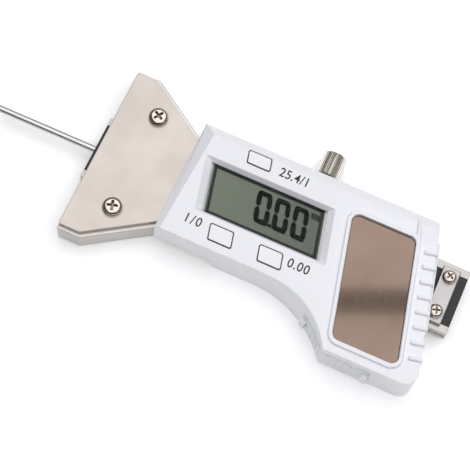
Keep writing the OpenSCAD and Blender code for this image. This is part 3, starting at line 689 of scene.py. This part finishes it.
# ---- Display --------------------------------------------------------------
# A reflective liquid-crystal glass, grey-green, behind a clear acrylic window. The digits are the
# crystal's dark segments, drawn as thin shapes on the glass: zeros, a point and a comb of bars.
def display_glass():
    # The reflector behind the crystal is a fine metallic grain, seen through polarisers. A painted reflection
    # also darkens the tone from left to right, from x = 27 to 54 mm
    material, tree, shader, place = new_material(
        "lcd_glass", Roughness=0.2, IOR=1.4, Coat_Weight=0.5, Coat_Roughness=0.03
    )
    axes = add_node(tree, "SeparateXYZ", links={0: place})
    # Painted reflection: the tone darkens from left to right along x
    painted_reflection_sweep = add_node(
        tree, "MapRange", {"From Min": 27 * mm, "From Max": 54 * mm}, {"Value": axes.outputs["X"]}
    )
    grain = add_node(tree, "TexNoise", {"Scale": 1 / (0.14 * mm), "Detail": 2}, {"Vector": place})
    both = add_node(
        tree, "Math", {"operation": "MULTIPLY_ADD", 1: 0.12},
        {0: grain.outputs["Fac"], 2: painted_reflection_sweep.outputs["Result"]},
    )
    tone = add_node(tree, "MixRGB", {1: linear("#69765f"), 2: linear("#545b4b")}, {0: both.outputs["Value"]})
    tree.links.new(tone.outputs["Color"], shader.inputs["Base Color"])
    return material


def clear_acrylic():
    # A polished clear window: it only dims what is behind it, by a twentieth
    material, tree, shader, place = new_material("clear_acrylic", Roughness=0.04, IOR=1.49, Alpha=0.05)
    haze = add_node(tree, "TexNoise", {"Scale": 1 / (5 * mm), "Detail": 2}, {"Vector": place})
    tone = add_node(tree, "MixRGB", {1: linear("#2a302a"), 2: linear("#222822")}, {0: haze.outputs["Fac"]})
    tree.links.new(tone.outputs["Color"], shader.inputs["Base Color"])
    return material


give("lcd_glass", display_glass())
window = rounded_copy("lcd_window", "lcd_window_part", 0.05 * mm)
give(window, clear_acrylic(), "root", ["lcd_window"])

segment_ink = plain_finish("liquid_crystal_segments", "#070807", "#0d0f0d", 0.5, 0.3 * mm)
segment_ink.node_tree.nodes["Principled BSDF"].inputs["Specular IOR Level"].default_value = 0.1
lean = 0.23
digit_w = 2.50 * mm
digit_h = 6.45 * mm
stroke = 1.22 * mm
join_gap = 0.14 * mm
digits_middle = Vector((39.8 * mm, 1.2 * mm))
digit_pitch = 4.40 * mm
glass_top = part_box("lcd_glass")[1].z
segment_t = 0.02 * mm


def flat_bar(name, middle, length, width, upright_bar, point):
    """A thin bar on the glass with its corners cut off by point, leaning as the window does."""
    bpy.ops.mesh.primitive_plane_add(size=1)
    bar = bpy.context.object
    bar.name = name
    size = (width, length) if upright_bar else (length, width)
    bar.scale = (size[0], size[1], 1)
    bpy.ops.object.transform_apply(location=False, rotation=False, scale=True)
    bpy.ops.object.mode_set(mode="EDIT")
    bpy.ops.mesh.select_all(action="SELECT")
    bpy.ops.mesh.bevel(offset=point, affect="VERTICES")
    bpy.ops.mesh.extrude_region_move(TRANSFORM_OT_translate={"value": (0, 0, segment_t)})
    bpy.ops.object.mode_set(mode="OBJECT")
    for vert in bar.data.vertices:
        y = vert.co.y + middle.y
        vert.co = Vector((vert.co.x + middle.x - lean * y, y, vert.co.z + glass_top + 0.003 * mm))
    select_only(bar)
    bpy.ops.object.mode_set(mode="EDIT")
    bpy.ops.mesh.select_all(action="SELECT")
    bpy.ops.mesh.normals_make_consistent(inside=False)
    bpy.ops.object.mode_set(mode="OBJECT")
    return bar


def zero_digit(number):
    """The six lit segments of a zero: two across and four upright."""
    middle = digits_middle + Vector((digit_pitch * number, 0))
    across_l = digit_w + stroke - 2 * join_gap
    upright_l = digit_h / 2 - 2 * join_gap + 0.1 * mm
    bars = []
    for side in (-1, 1):
        spot = middle + Vector((0, side * digit_h / 2))
        bars.append(flat_bar("bar", spot, across_l, stroke, False, stroke * 0.42))
        for end in (-1, 1):
            spot = middle + Vector((side * digit_w / 2, end * digit_h / 4))
            bars.append(flat_bar("bar", spot, upright_l, stroke, True, stroke * 0.38))
    return bars


digit_bars = [bar for number in range(3) for bar in zero_digit(number)]
point_size = 0.85 * mm
point_spot = digits_middle + Vector((digit_pitch / 2, -digit_h / 2 - 0.05 * mm))
digit_bars.append(flat_bar("point", point_spot, point_size, point_size, False, 0.2 * mm))
comb_bars = 6
for column in range(comb_bars):
    comb_spot = digits_middle + Vector((2 * digit_pitch + (2.45 + 0.42 * column) * mm, 2.95 * mm))
    digit_bars.append(flat_bar("mark", comb_spot, 1.4 * mm, 0.3 * mm, True, 0.05 * mm))
select_only(digit_bars[0])
for bar in digit_bars[1:]:
    bar.select_set(True)
bpy.ops.object.join()
digits = bpy.context.object
digits.name = "display_digits"
give(digits, segment_ink, "root")


# ---- Buttons and printed marks --------------------------------------------
# Three smooth white caps over thin black rings, put in the gaps round the caps as painted shade,
# each beside a mark pad-printed in dark grey ink: plain figures, for the unit, for on and off, and for zero.
def leaning_ring(name, middle, width, height, band, corner, base, thick):
    """A flat ring with rounded corners whose ends lean as the housing's rear does."""
    bpy.ops.mesh.primitive_plane_add(size=1)
    ring = bpy.context.object
    ring.name = name
    ring.scale = (width, height, 1)
    bpy.ops.object.transform_apply(location=False, rotation=False, scale=True)
    bpy.ops.object.mode_set(mode="EDIT")
    bpy.ops.mesh.select_all(action="SELECT")
    bpy.ops.mesh.bevel(offset=corner, segments=4, affect="VERTICES")
    bpy.ops.mesh.select_all(action="SELECT")
    bpy.ops.mesh.inset(thickness=band)
    bpy.ops.mesh.delete(type="FACE")
    bpy.ops.mesh.select_all(action="SELECT")
    bpy.ops.mesh.extrude_region_move(TRANSFORM_OT_translate={"value": (0, 0, thick)})
    bpy.ops.mesh.select_all(action="SELECT")
    bpy.ops.mesh.normals_make_consistent(inside=False)
    bpy.ops.object.mode_set(mode="OBJECT")
    for vert in ring.data.vertices:
        x, y, z = vert.co
        vert.co = Vector((x + middle.x - lean * y, y + middle.y, z + base))
    return ring


# Black for the rings of painted shade in the button gaps, and for the display's printed border
black_shade_and_mask = plain_finish("black_painted_shade_and_mask", "#0b0b0c", "#121213", 0.6, 0.3 * mm)
cap_shrink = 0.16 * mm
shade_ring_sink = 0.14 * mm
shade_ring_t = 0.1 * mm
cap_w = 5.5 * mm
for node, cap_h in (
    ("unit_button", 3.1 * mm), ("power_button", 3.8 * mm), ("zero_button", 3.8 * mm),
):
    low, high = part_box(node)
    # A black ring sunk in the gap round the cap: painted shade
    shade_ring = leaning_ring(
        node + "_shade_ring", (Vector(low) + Vector(high)) / 2, cap_w + 0.08 * mm, cap_h + 0.08 * mm,
        cap_shrink + 0.02 * mm, 0.42 * mm, housing_top - shade_ring_sink - shade_ring_t, shade_ring_t,
    )
    give(shade_ring, black_shade_and_mask, "root")
cap_abs = white_abs("smooth_white_abs", "#f4f5f8", "#f0f1f5", 0.26)
for node in ("unit_button", "power_button", "zero_button"):
    cap = rounded_copy(node, node + "_cap", 0.12 * mm)
    low, high = (Vector(corner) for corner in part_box(node))
    middle = (low + high) / 2
    size = high - low
    for vert in cap.data.vertices:
        vert.co.x = middle.x + (vert.co.x - middle.x) * (1 - 2 * cap_shrink / size.x)
        vert.co.y = middle.y + (vert.co.y - middle.y) * (1 - 2 * cap_shrink / size.y)
    give(cap, cap_abs, node, [node])

print_ink = plain_finish("pad_print_ink", "#151517", "#202022", 0.45, 0.2 * mm)
ink_t = 0.015 * mm
for name, words, x, y, height, spread in (
    ("unit_mark", "25.4/1", 43.2, 10.1, 2.25, 1.05),
    ("power_mark", "1/0", 26.9, -8.75, 2.25, 1.25),
    ("zero_mark", "0.00", 52.1, -8.95, 2.25, 1.10),
):
    bpy.ops.object.text_add()
    mark = bpy.context.object
    mark.name = name
    mark.data.body = words
    mark.data.align_x = "CENTER"
    mark.data.align_y = "CENTER"
    mark.data.size = height * mm / 0.72
    mark.data.space_character = spread
    mark.data.offset = 0.035 * mm
    mark.data.extrude = ink_t
    mark.data.resolution_u = 6
    bpy.ops.object.convert(target="MESH")
    mark = bpy.context.object
    mark.location = (x * mm, y * mm, housing_top)
    mark.scale = (0.88, 1, 1)
    bpy.ops.object.transform_apply(location=True, rotation=True, scale=True)
    give(mark, print_ink, "root")


# ---- Display mask ---------------------------------------------------------
# A black printed border on the glass, which shows as a thin line round the window's inner edge.
glass_low, glass_high = (Vector(corner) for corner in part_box("lcd_glass"))
mask_middle = (glass_low + glass_high) / 2 + Vector((0, 0.14 * mm, 0))
mask = leaning_ring(
    "display_mask", mask_middle, 26.4 * mm, 11.5 * mm, 0.70 * mm, 0.3 * mm, glass_top + 0.004 * mm, 0.02 * mm
)
give(mask, black_shade_and_mask, "root")


# ---- Solar cell -----------------------------------------------------------
# Amorphous silicon behind glass: a deep brown mirror whose gloss varies a little in fine upright
# streaks. It sits slightly below its raised white rim.
def solar_glass():
    # The film reflects like a brown metal, and the glass in front of it adds a clear coat
    material, tree, shader, place = new_material(
        "amorphous_silicon_glass", Metallic=1, Coat_Weight=0.25, Coat_Roughness=0.02
    )
    cloud = add_node(tree, "TexNoise", {"Scale": 1 / (8 * mm), "Detail": 2}, {"Vector": place})
    tone = add_node(tree, "MixRGB", {1: linear("#7f6d61"), 2: linear("#726054")}, {0: cloud.outputs["Fac"]})
    tree.links.new(tone.outputs["Color"], shader.inputs["Base Color"])
    streaks = add_node(tree, "Mapping", {"Scale": (1 / (0.6 * mm), 1 / (12 * mm), 1)}, {"Vector": place})
    texture = add_node(tree, "TexNoise", {"Scale": 1.0, "Detail": 2}, {"Vector": streaks.outputs["Vector"]})
    gloss = add_node(tree, "MapRange", {"To Min": 0.05, "To Max": 0.09}, {"Value": texture.outputs["Fac"]})
    tree.links.new(gloss.outputs["Result"], shader.inputs["Roughness"])
    return material


solar = rounded_copy("solar_cell", "solar_cell_part", 0.10 * mm)
give(solar, solar_glass(), "root", ["solar_cell"])
